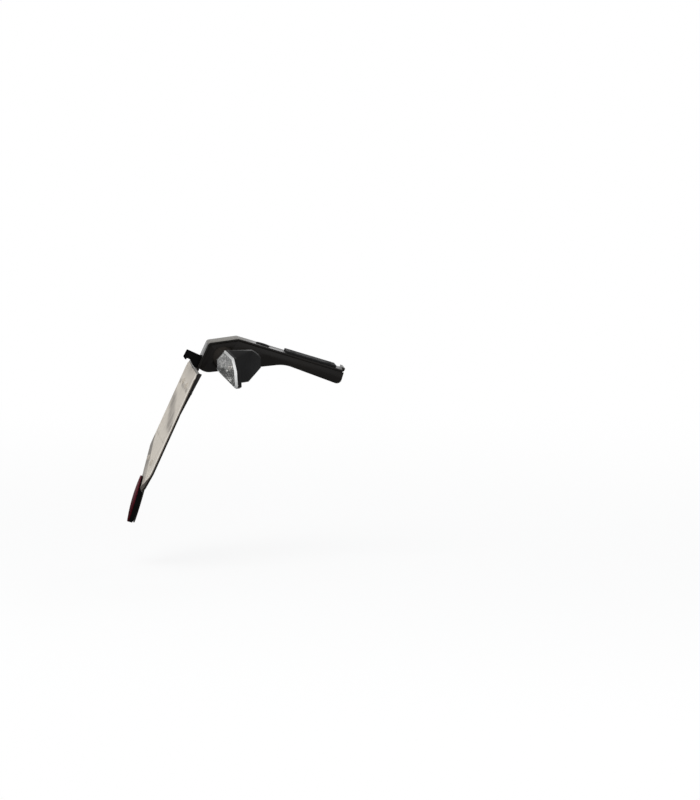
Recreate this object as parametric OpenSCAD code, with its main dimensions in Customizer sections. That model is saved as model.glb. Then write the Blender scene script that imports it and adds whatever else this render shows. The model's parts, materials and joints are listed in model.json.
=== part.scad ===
// Tail tidy for a motorcycle: a folded bracket under the tail that carries the
// number plate, its lamp, a rear reflector and two turn signals.
// +X points forward, +Y to the rider's left, +Z up. The origin is the centre of
// the mounting face, on top of the rubber pad.

/* [Bracket sheet] */
// Thickness of the folded sheet
sheet_t = 3; // [2:0.5:4]
// Inside radius of its folds
fold_r = 2; // [1:0.5:3]
// Width of the folded sheet
bracket_w = 45; // [43:1:60]
// Slope of the mounting plate in degrees, nose down
plate_slope = 17.2; // [14:0.1:20]
// Origin to the front edge of the mounting plate
plate_fwd = 48; // [46:1:60]
// Origin to the fold behind the mounting plate
plate_aft = 104.2; // [98:0.1:108]
// Length of the rear deck between its two folds
deck_l = 41.2; // [38:0.1:46]
// Drop of the deck towards the rear in degrees
deck_slope = 7.3; // [4:0.1:10]
// Length of the hanger below the rear fold
hanger_l = 84; // [80:1:100]
// Lean of the hanger and number plate from upright in degrees
hanger_lean = 24.6; // [20:0.1:30]
// Inside radius of the small lip at the front edge
lip_r = 1; // [0.5:0.5:1.5]

/* [Mounting face] */
// Thickness of the rubber pad
pad_t = 3; // [2:0.5:5]
// Length of the pad
pad_l = 72; // [64:1:80]
// Gap between the pad's side and the edge of the sheet
pad_inset = 2; // [1:0.5:4]
// Radius of the four mounting holes
mount_hole_r = 3.3; // [2.7:0.1:4.3]
// Distance between the mounting holes, front to back
mount_pitch = 52; // [44:1:54]
// Distance between the mounting holes, side to side
mount_track = 26; // [22:1:28]
// Radius of the hole for the wires
wire_hole_r = 8; // [6:0.5:9]

/* [Cheeks] */
// Thickness of a cheek plate
cheek_t = 2.5; // [2:0.5:3]
// Step from the sheet's edge in to the cheek
cheek_step = 0.5; // [0:0.1:1]
// Depth of the cheek below the mounting plate at its front
cheek_front_h = 17.4; // [15:0.1:22]
// Radius of the cheek's front corner
cheek_corner_r = 7; // [3:0.5:9]
// Radius of the arch in the cheek's lower edge
arch_r = 45; // [30:1:60]
// Radius of the lobe at the cheek's rear
lobe_r = 20; // [17:0.5:22]
// Leg of the weld beads inside the cheeks
weld_leg = 2.5; // [1.5:0.1:3]
// Length of a weld bead
weld_l = 14; // [8:1:18]

/* [Number plate and holder] */
// Side of the square number plate
plate_w = 177; // [165:1:190]
// Thickness of the number plate
plate_t = 1.2; // [0.8:0.1:2]
// Corner radius of the number plate
plate_corner_r = 10; // [6:0.5:14]
// Top edge of the number plate, down the hanger from its fold
plate_drop = 41.6; // [41:0.1:46]
// Thickness of the washers between hanger and holder
spacer_t = 1.4; // [1:0.1:2]
// Thickness of the holder sheet
holder_t = 1.8; // [1.5:0.1:2.5]
// Depth of the holder's side flanges at the top
flange_h = 4; // [3:0.1:8]
// Depth of the lip down the rest of its sides
lip_h = 0.5; // [0.3:0.1:1]
// Bend of the lower edge where it was struck, in degrees
crease_bend = 8.5; // [4:0.5:10]
// Further bend of its corner in degrees
corner_bend = 8; // [3:0.5:10]
// Rearward bend of the lower corner on the other side in degrees
near_bend = 5.5; // [2:0.5:8]
// Distance between the plate screws, side to side
plate_screw_track = 60; // [56:1:70]
// Upper plate screws below the plate's top edge
plate_screw_top = 24; // [14:1:30]
// Lower plate screws above the plate's lower edge
plate_screw_low = 37; // [35:1:60]

/* [Plate lamp] */
// Width of the lamp
lamp_w = 36; // [32:1:42]
// Reach of the lamp from the hanger
lamp_reach = 20; // [18:0.5:26]
// Top of the lamp, down the hanger from its fold
lamp_drop = 22.7; // [22:0.1:24]
// Depth of the lamp's body
lamp_h = 8.7; // [8:0.1:9]
// Wall of the lamp's body
lamp_wall = 1.8; // [1.4:0.1:2.2]

/* [Reflector] */
// Radius of the reflector
reflector_r = 33; // [28:0.5:34]
// Thickness of the reflector's lens at its rim
reflector_lens_t = 2.6; // [2:0.1:5]
// Thickness of the reflector's cup below the plate's lower edge
reflector_cup_t = 5.6; // [5.2:0.1:7]
// Gap between the number plate and the thin upper part of the cup
reflector_gap = 0.5; // [0.3:0.1:1]
// Thickness of the foam tape behind the cup
reflector_tape_t = 1; // [0.6:0.1:1.6]
// Step of the holder's tongue behind the holder
tongue_step = 3.5; // [2.5:0.1:4]
// Reflector centre below the plate's lower edge
reflector_drop = 19.5; // [16:0.5:24]

/* [Turn signals] */
// Length of the rubber stem between the cheek and the head
stem_l = 23; // [18:1:32]
// Radius of the stem's foot
stem_foot_r = 14.5; // [11:0.5:15]
// Radius of the stem at the head
stem_head_r = 7; // [6:0.5:8]
// Radius of the stem's threaded end
stem_thread_r = 4; // [3:0.5:5]
// Width of the turn signal's lens
signal_w = 49; // [45:1:54]
// Sweep of the lens in degrees from square across
signal_sweep = 31; // [26:1:36]
// Depth of the head's rim
signal_rim = 6; // [5:0.5:8]
// Wall of the head
signal_wall = 2; // [1.5:0.1:2.5]
// Thickness of the lens at its edge
signal_lens_t = 3.5; // [3:0.1:4.5]

/* [Hidden] */
$fn = 48;

// Gap left between solids that only come close
gap = 0.3;
// Extra length of a cutting shape past the face it leaves
cut = 1;
// Clearance of a screw in its hole
screw_clear = 0.2;
// Clearance of a thread in its nut, cut plain
thread_clear = 0.05;

outer_r = sheet_t + fold_r;
apex_bend = plate_slope + deck_slope;
rear_bend = 90 - hanger_lean - deck_slope;
rear_set = outer_r * tan(rear_bend / 2);
under_z = -pad_t - sheet_t;
cheek_out = bracket_w / 2 - cheek_step;
cheek_in = cheek_out - cheek_t;

// Points in the side view, forward and up, from a point on the mounting plate
function on_plate(p, n) = [p * cos(plate_slope) + n * sin(plate_slope),
    -p * sin(plate_slope) + n * cos(plate_slope)];
function aim(a) = [sin(a), cos(a)];
function arc(centre, r, from, to, steps = 8) =
    [for (i = [0:steps]) centre + r * aim(from + (to - from) * i / steps)];
apex = on_plate(-plate_aft, -pad_t);
rear = apex - deck_l * [cos(deck_slope), sin(deck_slope)];
// Directions square to each flat of the sheet, as angles from straight up
plate_up = plate_slope;
deck_up = -deck_slope;
hanger_up = hanger_lean - 90;
apex_c = apex - outer_r / cos(apex_bend / 2) * aim((plate_up + deck_up) / 2);
rear_c = rear - outer_r / cos(rear_bend / 2) * aim((deck_up + hanger_up) / 2);
hanger_dir = [-sin(hanger_lean), -cos(hanger_lean)];
// The underside of the sheet from the mounting plate back to the hanger
under_line = concat(arc(apex_c, fold_r, plate_up, deck_up, 4), arc(rear_c, fold_r, deck_up, hanger_up));

// Frames whose x runs rearward along the sheet and whose z is square to it
module plate_frame() {
    rotate([0, 0, 180]) rotate([0, -plate_slope, 0]) children();
}
module deck_frame() {
    plate_frame() translate([plate_aft, 0, -pad_t]) rotate([0, apex_bend, 0]) children();
}
module hanger_frame() {
    deck_frame() translate([deck_l, 0, 0]) rotate([0, rear_bend, 0]) children();
}

// Simple shapes used again and again
module slab(x0, x1, w, z0, z1) {
    translate([x0, -w / 2, z0]) cube([x1 - x0, w, z1 - z0]);
}
module hole(r, z0, z1) {
    translate([0, 0, z0]) cylinder(h = z1 - z0, r = r);
}
module side_slab(w) {
    translate([0, w / 2, 0]) rotate([90, 0, 0]) linear_extrude(w) children();
}
module round_rect(l, w, r) {
    translate([r, -w / 2]) square([l - 2 * r, w]);
    translate([0, -w / 2 + r]) square([l, w - 2 * r]);
    for (x = [r, l - r], y = [-1, 1]) translate([x, y * (w / 2 - r)]) circle(r);
}
module both_sides() {
    children();
    mirror([0, 1, 0]) children();
}
module right_side() {
    mirror([0, 1, 0]) children();
}
module hex_nut(r, flats, h) {
    difference() {
        cylinder(h = h, r = flats / sqrt(3), $fn = 6);
        hole(r, -cut, h + cut);
    }
}
module button_screw(shank_r, head_r, head_h, length) {
    difference() {
        union() {
            translate([0, 0, -length]) cylinder(h = length, r = shank_r);
            intersection() {
                cylinder(h = head_h, r = head_r);
                translate([0, 0, head_h - head_r * 1.25]) sphere(r = head_r * 1.25);
            }
        }
        hole(shank_r * 0.6, head_h * 0.45, head_h + cut, $fn = 6);
    }
}

// Bracket
function reversed(list) = [for (i = [len(list) - 1:-1:0]) list[i]];
function lip_arc(r, from, to) = [for (q = arc([plate_fwd - sheet_t - lip_r, lip_r - pad_t], r, from, to, 6))
    on_plate(q[0], q[1])];
sheet_profile = concat(
    lip_arc(sheet_t + lip_r, 180, 90),
    [on_plate(plate_fwd, 0), on_plate(plate_fwd - sheet_t, 0)],
    lip_arc(lip_r, 90, 180),
    arc(apex_c, outer_r, plate_up, deck_up, 4),
    arc(rear_c, outer_r, deck_up, hanger_up),
    [rear + hanger_l * hanger_dir, rear + hanger_l * hanger_dir - sheet_t * aim(hanger_up)],
    reversed(under_line));
mount_spots = [for (x = [-1, 1], y = [-1, 1]) [x * mount_pitch / 2, y * mount_track / 2]];
wire_hole_x = 68;
holder_bolt_spots = [for (x = [54, 74], y = [-11, 11]) [x, y]];
holder_bolt_r = 2.5;
nut_flats = 8;
nut_h = 4.5;
bolt_hole_r = holder_bolt_r + screw_clear;
lamp_screw_y = 11;
lamp_screw_r = 2;
lamp_screw_x = lamp_drop + lamp_h / 2;
module main_bracket() {
    color([0.07, 0.07, 0.075]) difference() {
        side_slab(bracket_w) polygon(sheet_profile);
        plate_frame() {
            for (spot = mount_spots) translate(spot) hole(mount_hole_r, under_z - cut, -pad_t + cut);
            translate([wire_hole_x, 0, 0]) hole(wire_hole_r, under_z - cut, -pad_t + cut);
        }
        hanger_frame() {
            for (spot = holder_bolt_spots)
                translate(spot) hole(holder_bolt_r + screw_clear, -sheet_t - cut, cut);
            for (side = [-1, 1]) translate([lamp_screw_x, side * lamp_screw_y, 0])
                hole(lamp_screw_r + screw_clear, -sheet_t - cut, cut);
            translate([lamp_screw_x, 0, 0]) hole(lamp_screw_r * 2, -sheet_t - cut, cut);
            for (side = [-1, 1]) translate([hanger_l, side * bracket_w / 2, 0]) rotate([0, 0, 45])
                cube([8, 8, 10], center = true);
        }
    }
}

// Rubber pad between the bracket and the tail
module mount_pad() {
    color([0.05, 0.05, 0.05]) plate_frame() difference() {
        translate([-pad_l / 2, 0, -pad_t]) linear_extrude(pad_t)
            round_rect(pad_l, bracket_w - 2 * pad_inset, 3);
        for (spot = mount_spots) translate(spot) hole(mount_hole_r + 1.7, -pad_t - cut, cut);
    }
}

// Rubber grommet in the hole for the wires
grommet_wall = 2.2;
module wire_grommet() {
    bore = wire_hole_r - grommet_wall;
    color([0.04, 0.04, 0.04]) plate_frame() translate([wire_hole_x, 0, under_z]) rotate_extrude()
        polygon([[bore, -1.8], [wire_hole_r + 2, -1.8], [wire_hole_r + 2, 0], [wire_hole_r, 0],
            [wire_hole_r, sheet_t], [wire_hole_r + 2, sheet_t], [wire_hole_r + 1.2, sheet_t + 1.6],
            [bore, sheet_t + 1.6]]);
}

// Cheek plates
lobe_at = [-141, 2.3];
arch_at = [-44, -8.6 - arch_r];
arch_front_a = 20.2;
arch_rear_a = -5.5;
cheek_front = plate_fwd;
module cheek_outline() {
    low_n = under_z - cheek_front_h;
    lobe_in = (lobe_at - rear_c) * -aim(hanger_up) + fold_r;
    polygon(concat(
        [on_plate(cheek_front, under_z)],
        under_line,
        arc(lobe_at, lobe_r, hanger_up - acos(lobe_in / lobe_r), arch_rear_a - 180),
        arc(arch_at, arch_r, arch_rear_a, arch_front_a),
        [for (q = arc([cheek_front - cheek_corner_r, low_n + cheek_corner_r], cheek_corner_r, 180, 90))
            on_plate(q[0], q[1])]));
}
stem_at = [-121, 3];
module cheek() {
    color([0.06, 0.06, 0.065]) difference() {
        translate([0, cheek_out, 0]) rotate([90, 0, 0]) linear_extrude(cheek_t) cheek_outline();
        translate([stem_at[0], 0, stem_at[1]]) rotate([-90, 0, 0])
            hole(stem_thread_r + screw_clear, cheek_in - cut, cheek_out + cut);
    }
}
module cheek_left() {
    cheek();
}
module cheek_right() {
    right_side() cheek();
}
// Short welds inside the corner between each cheek and the sheet
weld_spots = [-38, -12, 14, 40, 66, 92];
module weld_bead() {
    rotate([90, 0, 90]) linear_extrude(weld_l, center = true) polygon([[0, 0], [-weld_leg, 0],
        [-weld_leg * 0.38, -weld_leg * 0.38], [0, -weld_leg]]);
}
module weld_beads() {
    color([0.09, 0.09, 0.09]) both_sides() {
        plate_frame() for (x = weld_spots) translate([x, cheek_in, under_z]) weld_bead();
        deck_frame() for (x = [14, deck_l - 10.2]) translate([x, cheek_in, -sheet_t]) weld_bead();
    }
}

// Plate holder and number plate, with the struck corner bent forward
crease_start = plate_w - 50;
crease_end = plate_w - 50;
corner_start = plate_w - 45;
corner_end = 52;
near_start = plate_w - 29;
near_end = 62;
big = 600;
// Overlap of the two flats that meet in a crease
lap = 0.03;
module holder_frame() {
    hanger_frame() translate([0, 0, spacer_t]) children();
}
module to_crease(start, end) {
    translate([plate_drop + start, -plate_w / 2, 0]) rotate([0, 0, -atan((plate_w - start) / end)]) children();
}
module from_crease(start, end) {
    rotate([0, 0, atan((plate_w - start) / end)]) translate([-plate_drop - start, plate_w / 2, 0]) children();
}
module flap_frame() {
    holder_frame() to_crease(crease_start, crease_end) rotate([0, crease_bend, 0])
        from_crease(crease_start, crease_end) children();
}
// Bends what lies beyond a line across the lower corner on the left
module creased(start, end, bend) {
    intersection() {
        children();
        to_crease(start, end) rotate([0, bend / 2, 0])
            translate([-big, -big / 2, -big / 2]) cube([big + lap, big, big]);
    }
    to_crease(start, end) rotate([0, bend, 0]) intersection() {
        from_crease(start, end) children();
        rotate([0, -bend / 2, 0]) translate([-lap, -big / 2, -big / 2]) cube(big);
    }
}
// The flat sheet as it was struck: its lower edge and left corner bent forward, its right corner rearward
module struck() {
    mirror([0, 1, 0]) creased(near_start, near_end, -near_bend) mirror([0, 1, 0])
        creased(crease_start, crease_end, crease_bend) creased(corner_start, corner_end, corner_bend)
            children();
}
holder_top = lamp_drop + lamp_h + 7.4;
holder_edge_t = 2;
flange_end = 61;
plate_low = plate_drop + plate_w;
tongue_r = reflector_r - 1;
tongue_neck = 22;
reflector_x = plate_low + reflector_drop;
plate_spots = [for (x = [plate_drop + plate_screw_top, plate_low - plate_screw_low], y = [-1, 1])
    [x, y * plate_screw_track / 2]];
plate_screw_r = 2.5;
module holder_outline() {
    translate([holder_top, 0]) round_rect(plate_low - holder_top, plate_w, 4);
}
// Tongue below the plate, stepped forward to carry the reflector
module tongue() {
    root = plate_low - 2.6;
    flap_frame() {
        translate([0, 0, -tongue_step]) intersection() {
            linear_extrude(holder_t) union() {
                translate([reflector_x, 0]) circle(r = tongue_r, $fn = 96);
                translate([root, -tongue_neck]) square([reflector_x - root, 2 * tongue_neck]);
            }
            translate([root, -big / 2, -cut]) cube([big, big, holder_t + 2 * cut]);
        }
        translate([root, -tongue_neck, -tongue_step]) cube([holder_t, 2 * tongue_neck, tongue_step + holder_t]);
    }
}
module holder_flanges() {
    low = plate_low - 5;
    step = plate_drop + flange_end;
    for (side = [-1, 1]) translate([0, side * (plate_w - holder_edge_t) / 2, 0]) side_slab(holder_edge_t)
        polygon([[holder_top, holder_t / 2], [holder_top, -flange_h], [step, 0], [step + 2, -lip_h * 0.6],
            [low, -lip_h], [low, holder_t / 2]]);
}
module plate_holder() {
    color([0.05, 0.05, 0.05]) {
        holder_frame() difference() {
            struck() union() {
                linear_extrude(holder_t) holder_outline();
                holder_flanges();
            }
            for (spot = holder_bolt_spots) translate(spot) {
                hole(bolt_hole_r, -cut, holder_t + cut);
                cylinder(h = holder_t + 0.1, r1 = bolt_hole_r, r2 = bolt_hole_r + holder_t + 0.1);
            }
            for (spot = plate_spots) translate(spot) hole(plate_screw_r + screw_clear, -cut, holder_t + cut);
        }
        tongue();
    }
}
module holder_spacers() {
    color([0.6, 0.6, 0.62]) hanger_frame() for (spot = holder_bolt_spots) translate(spot) difference() {
        cylinder(h = spacer_t, r = holder_bolt_r * 2);
        hole(bolt_hole_r, -cut, spacer_t + cut);
    }
}
module plate_outline() {
    translate([plate_drop, 0]) round_rect(plate_w, plate_w, plate_corner_r);
}
module number_plate() {
    face_z = holder_t + plate_t;
    color([0.80, 0.77, 0.71]) holder_frame() difference() {
        struck() translate([0, 0, holder_t]) linear_extrude(plate_t) plate_outline();
        for (spot = plate_spots) translate(spot) hole(plate_screw_r + screw_clear, holder_t - cut, face_z + cut);
    }
}
module holder_bolts() {
    head_h = holder_t - 0.15;
    tail_l = spacer_t + sheet_t + nut_h + 1.5;
    color([0.6, 0.6, 0.62]) holder_frame() for (spot = holder_bolt_spots) translate(spot) difference() {
        union() {
            translate([0, 0, -tail_l]) cylinder(h = tail_l + 0.2, r = holder_bolt_r);
            cylinder(h = head_h, r1 = holder_bolt_r, r2 = holder_bolt_r + head_h);
        }
        translate([0, 0, head_h - 1]) cylinder(h = 2, r = 1.5, $fn = 6);
    }
}
module holder_nuts() {
    color([0.6, 0.6, 0.62]) hanger_frame() for (spot = holder_bolt_spots) translate(spot)
        translate([0, 0, -sheet_t - nut_h]) hex_nut(holder_bolt_r + thread_clear, nut_flats, nut_h);
}
module plate_screws() {
    color([0.7, 0.7, 0.7]) holder_frame() for (spot = plate_spots) translate(spot)
        translate([0, 0, holder_t + plate_t])
            button_screw(plate_screw_r, plate_screw_r * 1.9, plate_screw_r, holder_t + plate_t + 6);
}
module plate_nuts() {
    color([0.6, 0.6, 0.62]) holder_frame() for (spot = plate_spots) translate(spot)
        translate([0, 0, -4.5]) union() {
            difference() {
                translate([0, 0, 3.5]) cylinder(h = 1, r = plate_screw_r * 2);
                hole(plate_screw_r + thread_clear, 0, 5);
            }
            hex_nut(plate_screw_r + thread_clear, 8, 3.5);
        }
}

// Number plate lamp
window_z0 = 11.2;
window_z1 = lamp_reach - 1.6;
lens_sink = 1.5;
module lamp_housing() {
    low = lamp_drop + lamp_h;
    color([0.04, 0.04, 0.04]) hanger_frame() difference() {
        side_slab(lamp_w) polygon([[lamp_drop, 0], [lamp_drop, lamp_reach - 0.8], [lamp_drop + 0.8, lamp_reach],
            [low + 2.4, lamp_reach + 0.6], [low + 2.4, window_z1 + 0.2], [low, window_z1], [low, window_z0],
            [low + 1.3, window_z0], [low + 5.5, 7], [holder_top - 0.3, 4.2], [holder_top - 0.3, 0]]);
        slab(lamp_drop + lamp_wall, low - lens_sink, lamp_w - 2 * lamp_wall, lamp_wall + 5, window_z1 - 0.4);
        slab(low - lens_sink - cut, low + cut, lamp_w - 2 * lamp_wall, window_z0, window_z1 - 0.4);
        for (side = [-1, 1]) translate([lamp_screw_x, side * lamp_screw_y, 0])
            hole(lamp_screw_r + thread_clear, -cut, lamp_wall + 3.6);
    }
}
module lamp_lens() {
    low = lamp_drop + lamp_h;
    color([0.85, 0.88, 0.9, 0.5]) hanger_frame()
        slab(low - lens_sink + 0.05, low - 0.1, lamp_w - 2 * lamp_wall - 0.1, window_z0 + 0.05, window_z1 - 0.45);
}
board_t = 1.2;
board_x = lamp_drop + lamp_wall + 0.05;
board_z = (lamp_wall + 5 + window_z1 - 0.4) / 2;
module lamp_board() {
    color([0.1, 0.35, 0.2]) hanger_frame()
        slab(board_x, board_x + board_t, lamp_w - 2 * lamp_wall - 1, lamp_wall + 5.3, window_z1 - 0.7);
}
module lamp_leds() {
    color([0.95, 0.93, 0.8]) hanger_frame() for (y = [-1, 0, 1])
        translate([board_x + board_t, y * lamp_w * 0.26, board_z + 2.4]) rotate([0, 90, 0]) {
            cylinder(h = 1, r = 1.7);
            translate([0, 0, 1]) intersection() {
                sphere(r = 1.4);
                cylinder(h = 2, r = 2);
            }
        }
}
module lamp_screws() {
    color([0.6, 0.6, 0.62]) hanger_frame() for (side = [-1, 1])
        translate([lamp_screw_x, side * lamp_screw_y, -sheet_t]) rotate([180, 0, 0])
            button_screw(lamp_screw_r, lamp_screw_r * 1.9, lamp_screw_r, sheet_t + 5);
}

// Round rear reflector, taped to the holder's tongue
cup_z = -tongue_step + holder_t + reflector_tape_t;
lens_z = cup_z + reflector_cup_t;
module reflector_cup() {
    thin_z = holder_t + plate_t + reflector_gap;
    color([0.04, 0.04, 0.04]) flap_frame() translate([reflector_x, 0, 0]) difference() {
        translate([0, 0, cup_z]) rotate_extrude($fn = 96)
            polygon([[0, 0], [reflector_r - 0.6, 0], [reflector_r, 0.6], [reflector_r, reflector_cup_t],
                [reflector_r - 1.5, reflector_cup_t], [reflector_r - 1.5, reflector_cup_t - 1],
                [0, reflector_cup_t - 1]]);
        translate([-reflector_r - cut, -reflector_r - cut, cup_z - cut])
            cube([reflector_r - reflector_drop + cut + reflector_gap, 2 * (reflector_r + cut), thin_z - cup_z + cut]);
    }
}
module reflector_lens() {
    color([0.55, 0.02, 0.05, 0.8]) flap_frame() translate([reflector_x, 0, lens_z]) rotate_extrude($fn = 96)
        polygon([[0, -1], [reflector_r - 1.6, -1], [reflector_r - 1.6, 0], [reflector_r, 0],
            [reflector_r, reflector_lens_t - 1.2], [reflector_r - 1.2, reflector_lens_t], [0, reflector_lens_t]]);
}
module reflector_tape() {
    color([0.12, 0.12, 0.12]) flap_frame() translate([reflector_x, 0, cup_z - reflector_tape_t])
        linear_extrude(reflector_tape_t) intersection() {
            circle(r = tongue_r - 1.5, $fn = 96);
            translate([reflector_gap + 2 - reflector_drop, -reflector_r]) square(2 * reflector_r);
        }
}

// Turn signals, drawn on the left
stem_end = cheek_out + stem_l;
lens_x = -131;
module signal_frame() {
    translate([lens_x, stem_end, 0]) rotate([0, 0, 90 - signal_sweep]) rotate([90, 0, 0]) children();
}
signal_corners = signal_w * [[0.01, 0.06], [0.39, 0.337], [0.81, 0.143], [0.951, -0.204], [1, -0.643],
    [0.904, -0.694], [0.01, -0.255]];
signal_mid = signal_w * [0.551, -0.143];
module signal_outline(shrink) {
    translate(signal_mid) scale(1 - shrink) translate(-signal_mid) polygon(signal_corners);
}
module signal_slice(shrink, z0, z1) {
    translate([0, 0, z0]) linear_extrude(z1 - z0) signal_outline(shrink);
}
nose_x = lens_x + 58;
module signal_nose(wall) {
    translate([nose_x - 3, stem_end + 2 + wall, -7.5 + wall]) cube([3 - wall, 16 - 2 * wall, 13 - 2 * wall]);
    translate([nose_x - 6, stem_end + 4 + wall, 10 - wall]) cube([3 - wall, 14 - 2 * wall, 0.5]);
    translate([nose_x - 16, stem_end + 8 + wall, 15.5 - wall]) cube([4, 18 - 2 * wall, 1]);
    translate([nose_x - 20, stem_end + 24 - wall, -25 + wall]) cube([2, 9 - wall, 1]);
}
module signal_body(wall, base) {
    hull() {
        signal_frame() translate([1, 2, base]) linear_extrude(1)
            scale([0.93 - wall / 40, 0.86 - wall / 30]) signal_outline(0);
        signal_nose(wall);
    }
}
module signal_housing() {
    color([0.08, 0.08, 0.085]) difference() {
        union() {
            signal_frame() signal_slice(0, 0, signal_rim);
            signal_body(0, signal_rim - 2.4);
        }
        signal_body(signal_wall, signal_rim - 1.7);
        signal_frame() signal_slice(0.1, -cut, signal_rim - 0.5);
        translate([stem_at[0], stem_end - 8, stem_at[1]]) rotate([-90, 0, 0])
            cylinder(h = 8, r = stem_head_r);
    }
}
module signal_lens() {
    color([0.85, 0.86, 0.88, 0.45]) signal_frame() difference() {
        hull() {
            signal_slice(0, -1.2, 0);
            signal_slice(0.1, -signal_lens_t, -signal_lens_t + 0.1);
        }
        hull() {
            signal_slice(0.1, -1, cut);
            signal_slice(0.16, -signal_lens_t + 1.6, -signal_lens_t + 1.7);
        }
    }
}
bowl_d = 10;
module signal_bowl() {
    color([0.75, 0.75, 0.76]) signal_frame() difference() {
        hull() {
            signal_slice(0.14, 0.2, 1);
            translate([signal_mid[0], signal_mid[1], bowl_d]) cylinder(h = 1, r = 8, $fn = 16);
        }
        hull() {
            signal_slice(0.19, 0.1, 0.2);
            translate([signal_mid[0], signal_mid[1], bowl_d - 1.5]) cylinder(h = 1, r = 6.5, $fn = 16);
        }
        translate([signal_mid[0], signal_mid[1], 0]) hole(4.8, 2, bowl_d + 5);
    }
}
module signal_bulb() {
    color([0.9, 0.45, 0.08]) signal_frame() translate([signal_mid[0], signal_mid[1], 0]) rotate_extrude()
        polygon(concat([[0, bowl_d + 6], [4.5, bowl_d + 6], [4.5, bowl_d - 0.6]],
            [for (a = [90:-10:0]) [5.2 * sin(a), bowl_d - 5 - 5.2 * cos(a)]]));
}
module signal_socket() {
    color([0.2, 0.2, 0.2]) signal_frame() translate([signal_mid[0], signal_mid[1], bowl_d + 1 + gap])
        difference() {
            cylinder(h = 7, r = 7);
            hole(4.55, -cut, 5);
        }
}
module signal_stem() {
    color([0.05, 0.05, 0.05]) translate([stem_at[0], cheek_out, stem_at[1]]) rotate([-90, 0, 0]) rotate_extrude()
        polygon([[0, -cheek_t - 8], [stem_thread_r, -cheek_t - 8], [stem_thread_r, 0], [stem_foot_r, 0],
            [stem_foot_r, 2.5], [stem_foot_r - 2.5, 6], [stem_head_r, stem_l - 5],
            [stem_head_r, stem_l], [0, stem_l]]);
}
module signal_nut() {
    translate([stem_at[0], cheek_in, stem_at[1]]) rotate([90, 0, 0])
        hex_nut(stem_thread_r + thread_clear, stem_thread_r * 3.25, 6);
}

main_bracket();
mount_pad();
wire_grommet();
cheek_left();
cheek_right();
weld_beads();
holder_spacers();
plate_holder();
holder_bolts();
holder_nuts();
number_plate();
plate_screws();
plate_nuts();
lamp_housing();
lamp_lens();
lamp_board();
lamp_leds();
lamp_screws();
reflector_cup();
reflector_lens();
reflector_tape();
signal_stem();  // signal_stem_left
right_side() signal_stem();  // signal_stem_right
both_sides() color([0.6, 0.6, 0.62]) signal_nut();  // signal_nuts
signal_housing();  // signal_housing_left
right_side() signal_housing();  // signal_housing_right
signal_bowl();  // signal_bowl_left
right_side() signal_bowl();  // signal_bowl_right
signal_socket();  // signal_socket_left
right_side() signal_socket();  // signal_socket_right
signal_bulb();  // signal_bulb_left
right_side() signal_bulb();  // signal_bulb_right
signal_lens();  // signal_lens_left
right_side() signal_lens();  // signal_lens_right
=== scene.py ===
import json
from math import atan, cos, pi, radians, sin

import bmesh
import bpy
from mathutils import Matrix, Vector


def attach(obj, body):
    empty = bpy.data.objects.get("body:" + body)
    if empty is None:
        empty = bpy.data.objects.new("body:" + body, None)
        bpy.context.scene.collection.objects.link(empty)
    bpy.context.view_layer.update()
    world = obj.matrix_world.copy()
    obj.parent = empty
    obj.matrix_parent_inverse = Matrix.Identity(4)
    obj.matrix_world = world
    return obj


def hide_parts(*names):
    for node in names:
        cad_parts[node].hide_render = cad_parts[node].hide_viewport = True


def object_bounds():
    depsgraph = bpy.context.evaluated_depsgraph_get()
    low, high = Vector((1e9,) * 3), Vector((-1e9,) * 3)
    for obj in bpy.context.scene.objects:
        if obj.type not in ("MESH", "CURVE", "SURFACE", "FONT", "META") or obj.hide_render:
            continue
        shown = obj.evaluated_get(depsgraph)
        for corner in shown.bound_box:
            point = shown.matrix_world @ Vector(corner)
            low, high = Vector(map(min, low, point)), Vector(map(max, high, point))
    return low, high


bl_info = {
    "name": "Tail tidy finish",
    "version": (1, 0, 0),
    "blender": (4, 5, 0),
    "location": "View3D > Sidebar > Tail tidy",
    "description": "Dresses the packed tail tidy with rounded edges, a worn number plate, lamps and finishes",
    "category": "Object",
}

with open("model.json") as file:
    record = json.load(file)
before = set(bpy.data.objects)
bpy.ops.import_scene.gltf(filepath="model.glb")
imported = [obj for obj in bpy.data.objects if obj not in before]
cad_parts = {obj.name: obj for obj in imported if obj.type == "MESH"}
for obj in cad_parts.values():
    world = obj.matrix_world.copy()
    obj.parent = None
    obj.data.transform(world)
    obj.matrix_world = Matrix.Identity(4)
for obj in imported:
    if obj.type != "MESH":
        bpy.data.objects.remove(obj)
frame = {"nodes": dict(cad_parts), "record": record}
cad_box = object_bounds()

MM = 0.001

# Sizes shared with the solids, in millimetres and degrees. A crease cuts off a lower corner of the number
# plate: it has where it starts down the side, where it ends along the lower edge, and its bend
PLATE_SLOPE = 17.2
APEX_BEND = 24.5
HANGER_LEAN = 24.6
DECK_SLOPE = 7.3
PLATE_AFT = 104.2
DECK_L = 41.2
PAD_T = 3.0
SPACER_T = 1.4
HOLDER_T = 1.8
PLATE_T = 1.2
PLATE_W = 177.0
PLATE_DROP = 41.6
PLATE_R = 10.0
MAIN_CREASE = (127.0, 127.0, 8.5)
CORNER_CREASE = (132.0, 52.0, 8.0)
NEAR_CREASE = (148.0, 62.0, -5.5)
REFLECTOR_X = PLATE_DROP + PLATE_W + 19.5
REFLECTOR_R = 33.0
LENS_Z = 4.9
SIGNAL_W = 49.0
SIGNAL_SWEEP = 31.0
STEM_AT = (-121.0, 3.0)
CHEEK_OUT = 22.0
STEM_L = 23.0
STEM_END = CHEEK_OUT + STEM_L
LENS_X = -131.0
# The turn signal's outline in shares of its width, and its middle
SIGNAL_CORNERS = ((0.01, 0.06), (0.39, 0.337), (0.81, 0.143), (0.951, -0.204), (1.0, -0.643),
                  (0.904, -0.694), (0.01, -0.255))
SIGNAL_MID = (0.551, -0.143)

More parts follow.
